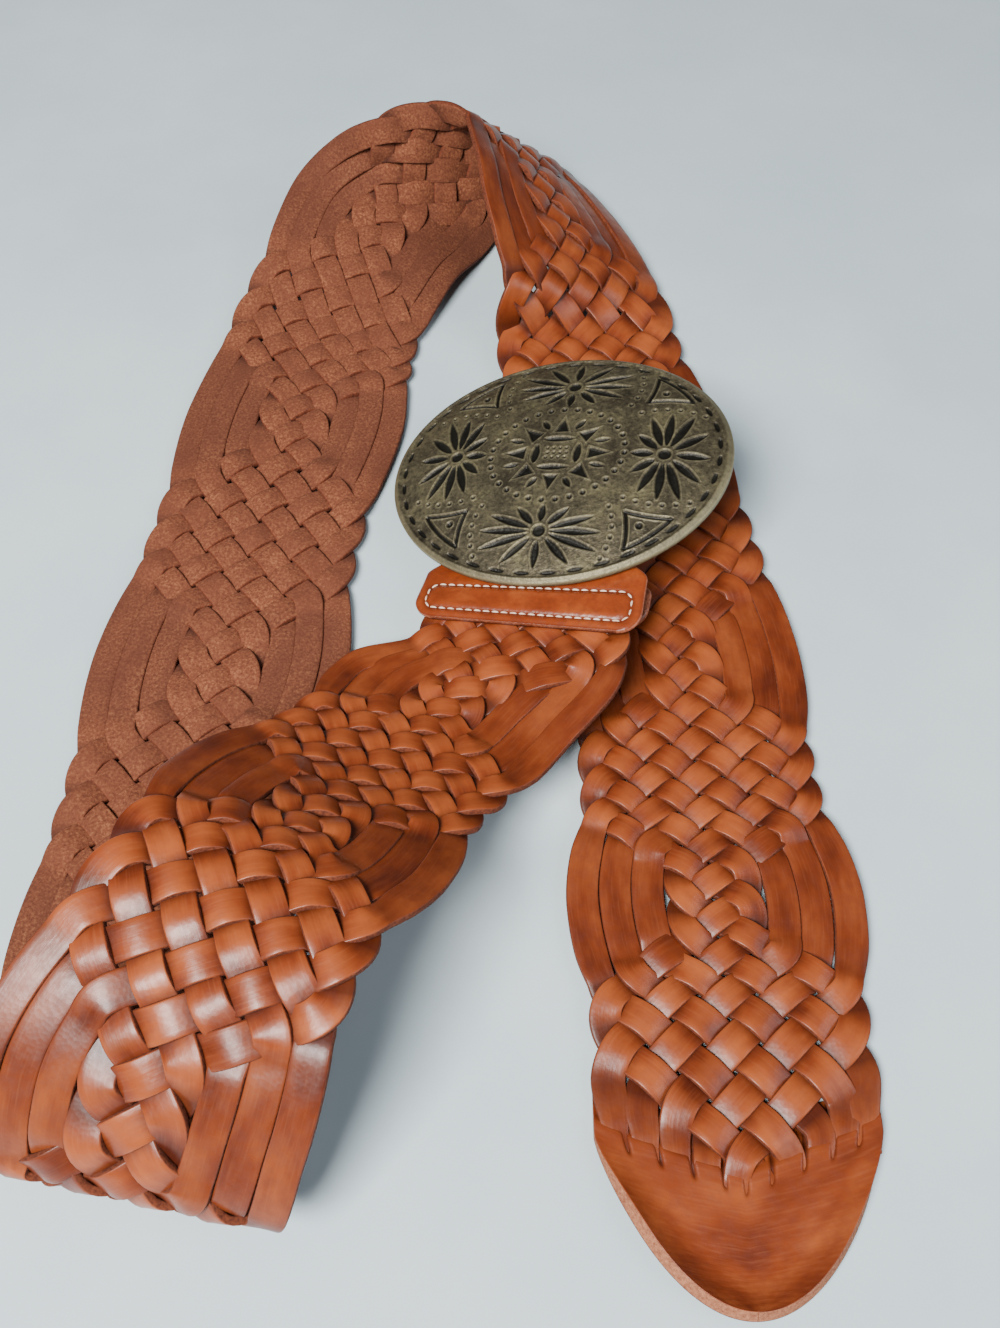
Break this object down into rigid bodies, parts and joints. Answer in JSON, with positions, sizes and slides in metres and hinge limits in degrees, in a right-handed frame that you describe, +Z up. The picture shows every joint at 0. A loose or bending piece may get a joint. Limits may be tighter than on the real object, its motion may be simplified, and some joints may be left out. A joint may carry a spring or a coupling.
{
  "type": "braided belt",
  "caption": "Wide braided leather belt laid in a loose loop on a table, with an oval cast buckle on a stitched leather tab and a rounded uncut tip.",
  "frame": {"origin": "middle of the belt's footprint on the surface it lies on", "axes": "+Z up; +X across, left to right with the tip toward the viewer; +Y away from the tip toward the far turn of the strap"},
  "size_m": [0.2064, 0.3808, 0.0508],
  "materials": {
    "strap_leather": "semi-gloss cognac vegetable tanned leather, suede on the flesh side",
    "tab_leather": "glossy orange tan leather with pale stitching",
    "antique_brass": "antique brass casting, olive grey with dark tooled cuts and a worn rim",
    "plain_cast": "plain unpolished casting"
  },
  "bodies": {
    "root": {"braided_strap": "strap_leather", "leather_tab": "tab_leather", "buckle_plate": "antique_brass", "buckle_loop_and_hook": "plain_cast"}
  },
  "joints": []
}
